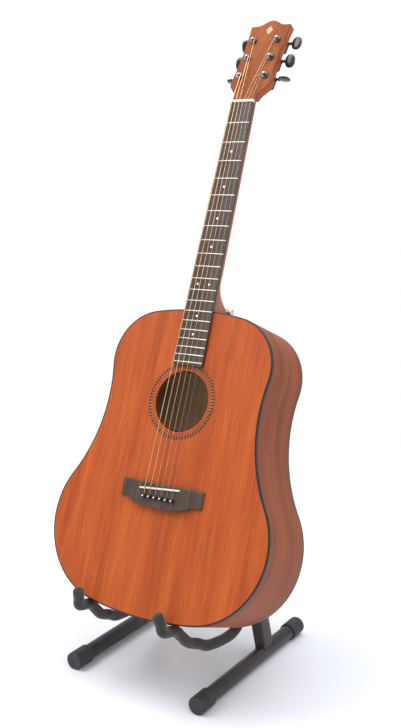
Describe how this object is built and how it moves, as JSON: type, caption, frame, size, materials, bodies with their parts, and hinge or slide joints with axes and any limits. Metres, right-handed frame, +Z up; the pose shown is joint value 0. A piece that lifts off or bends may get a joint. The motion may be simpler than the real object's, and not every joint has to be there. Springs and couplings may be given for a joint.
{
  "type": "guitar on stand",
  "caption": "Steel-string acoustic guitar with a plain mahogany body, leaning in the padded cradle of a folding A-frame floor stand.",
  "frame": {"origin": "on the floor, midway between the two foot tubes and half way along them", "axes": "+Z up, +X to the right of someone facing the guitar, the guitar faces -Y and leans towards +Y"},
  "size_m": [0.4094, 0.4755, 1.0672],
  "materials": {
    "mahogany_top": "satin open-pore",
    "mahogany_side": "satin open-pore",
    "mahogany_neck": "satin",
    "rosewood": "matte oiled",
    "spruce": "raw",
    "rosette": "satin",
    "binding": "satin",
    "bone": "polished",
    "black_plastic": "polished",
    "pearl": "polished",
    "chrome": "polished",
    "plain_steel": "polished",
    "black_metal": "gloss black",
    "bronze_wire": "wound",
    "stand_steel": "satin black",
    "stand_foam": "matte",
    "foot_rubber": "matte",
    "fasteners": "zinc"
  },
  "bodies": {
    "stand_hinge": {"hinge_bracket": "stand_steel", "hinge_bolts": "fasteners"},
    "left_leg": {"left_leg": "stand_steel", "left_foot_caps": "foot_rubber", "left_cradle_rod": "stand_steel", "left_cradle_foam": "stand_foam", "left_rest_rod": "stand_steel", "left_rest_foam": "stand_foam", "left_leg_screws": "fasteners"},
    "right_leg": {"right_leg": "stand_steel", "right_foot_caps": "foot_rubber", "right_cradle_rod": "stand_steel", "right_cradle_foam": "stand_foam", "right_rest_rod": "stand_steel", "right_rest_foam": "stand_foam", "right_leg_screws": "fasteners"},
    "guitar": {"soundboard": "mahogany_top", "rosette": "rosette", "back_plate": "mahogany_side", "side_bass": "mahogany_side", "side_treble": "mahogany_side", "binding_top": "binding", "binding_back": "binding", "linings": "spruce", "end_blocks": "mahogany_neck", "soundboard_braces": "spruce", "back_braces": "spruce", "bridge_plate": "spruce", "bridge": "rosewood", "saddle": "bone", "bridge_pins": "black_plastic", "end_pin": "black_plastic", "strap_button": "chrome", "neck": "mahogany_neck", "heel_cap": "binding", "truss_rod": "plain_steel", "fretboard": "rosewood", "frets": "plain_steel", "position_dots": "pearl", "nut": "bone", "headstock": "mahogany_neck", "headstock_veneer": "mahogany_top", "headstock_emblem": "pearl", "tuner_housings": "black_metal", "tuner_bushings": "black_metal", "tuner_screws": "black_metal", "strings_wound": "bronze_wire", "strings_plain": "plain_steel"},
    "tuner_post_1": {"tuner_post_1": "plain_steel"},
    "tuner_button_1": {"tuner_button_1": "black_metal"},
    "tuner_post_2": {"tuner_post_2": "plain_steel"},
    "tuner_button_2": {"tuner_button_2": "black_metal"},
    "tuner_post_3": {"tuner_post_3": "plain_steel"},
    "tuner_button_3": {"tuner_button_3": "black_metal"},
    "tuner_post_4": {"tuner_post_4": "plain_steel"},
    "tuner_button_4": {"tuner_button_4": "black_metal"},
    "tuner_post_5": {"tuner_post_5": "plain_steel"},
    "tuner_button_5": {"tuner_button_5": "black_metal"},
    "tuner_post_6": {"tuner_post_6": "plain_steel"},
    "tuner_button_6": {"tuner_button_6": "black_metal"}
  },
  "joints": [
    {"name": "left_leg_fold", "type": "hinge", "parent": "stand_hinge", "child": "left_leg", "pos_m": [-0.014, 0.08328, 0.395], "axis": [0, -0.9962, 0.0872], "range_deg": [0, 14]},
    {"name": "right_leg_fold", "type": "hinge", "parent": "stand_hinge", "child": "right_leg", "pos_m": [0.014, 0.08328, 0.395], "axis": [0, 0.9962, -0.0872], "range_deg": [0, 14]},
    {"name": "guitar_lift", "type": "slide", "parent": "stand_hinge", "child": "guitar", "axis": [-0.0327, 0.3486, 0.9367], "range_m": [0, 0.35]},
    {"name": "tuner_button_1_turn", "type": "hinge", "parent": "guitar", "child": "tuner_button_1", "pos_m": [-0.02697, 0.20003, 0.9649], "axis": [0.9994, 0, 0.0349], "continuous": true},
    {"name": "tuner_post_1_turn", "type": "hinge", "parent": "guitar", "child": "tuner_post_1", "pos_m": [-0.0272, 0.18056, 0.97147], "axis": [-0.0211, -0.7976, 0.6028], "continuous": true},
    {"name": "tuner_button_2_turn", "type": "hinge", "parent": "guitar", "child": "tuner_button_2", "pos_m": [-0.02625, 0.22295, 0.99525], "axis": [0.9994, 0, 0.0349], "continuous": true},
    {"name": "tuner_post_2_turn", "type": "hinge", "parent": "guitar", "child": "tuner_post_2", "pos_m": [-0.02648, 0.20348, 1.00183], "axis": [-0.0211, -0.7976, 0.6028], "continuous": true},
    {"name": "tuner_button_3_turn", "type": "hinge", "parent": "guitar", "child": "tuner_button_3", "pos_m": [-0.02809, 0.24557, 1.02511], "axis": [0.9994, 0, 0.0349], "continuous": true},
    {"name": "tuner_post_3_turn", "type": "hinge", "parent": "guitar", "child": "tuner_post_3", "pos_m": [-0.02831, 0.2261, 1.03169], "axis": [-0.0211, -0.7976, 0.6028], "continuous": true},
    {"name": "tuner_button_4_turn", "type": "hinge", "parent": "guitar", "child": "tuner_button_4", "pos_m": [0.01856, 0.24557, 1.02674], "axis": [0.9994, 0, 0.0349], "continuous": true},
    {"name": "tuner_post_4_turn", "type": "hinge", "parent": "guitar", "child": "tuner_post_4", "pos_m": [0.01833, 0.2261, 1.03332], "axis": [-0.0211, -0.7976, 0.6028], "continuous": true},
    {"name": "tuner_button_5_turn", "type": "hinge", "parent": "guitar", "child": "tuner_button_5", "pos_m": [0.01881, 0.22295, 0.99682], "axis": [0.9994, 0, 0.0349], "continuous": true},
    {"name": "tuner_post_5_turn", "type": "hinge", "parent": "guitar", "child": "tuner_post_5", "pos_m": [0.01858, 0.20348, 1.0034], "axis": [-0.0211, -0.7976, 0.6028], "continuous": true},
    {"name": "tuner_button_6_turn", "type": "hinge", "parent": "guitar", "child": "tuner_button_6", "pos_m": [0.02165, 0.20003, 0.9666], "axis": [0.9994, 0, 0.0349], "continuous": true},
    {"name": "tuner_post_6_turn", "type": "hinge", "parent": "guitar", "child": "tuner_post_6", "pos_m": [0.02142, 0.18056, 0.97317], "axis": [-0.0211, -0.7976, 0.6028], "continuous": true}
  ],
  "couplings": [
    {"joint": "tuner_post_1_turn", "follows": "tuner_button_1_turn", "ratio": -0.0625},
    {"joint": "tuner_post_2_turn", "follows": "tuner_button_2_turn", "ratio": -0.0625},
    {"joint": "tuner_post_3_turn", "follows": "tuner_button_3_turn", "ratio": -0.0625},
    {"joint": "tuner_post_4_turn", "follows": "tuner_button_4_turn", "ratio": 0.0625},
    {"joint": "tuner_post_5_turn", "follows": "tuner_button_5_turn", "ratio": 0.0625},
    {"joint": "tuner_post_6_turn", "follows": "tuner_button_6_turn", "ratio": 0.0625}
  ]
}
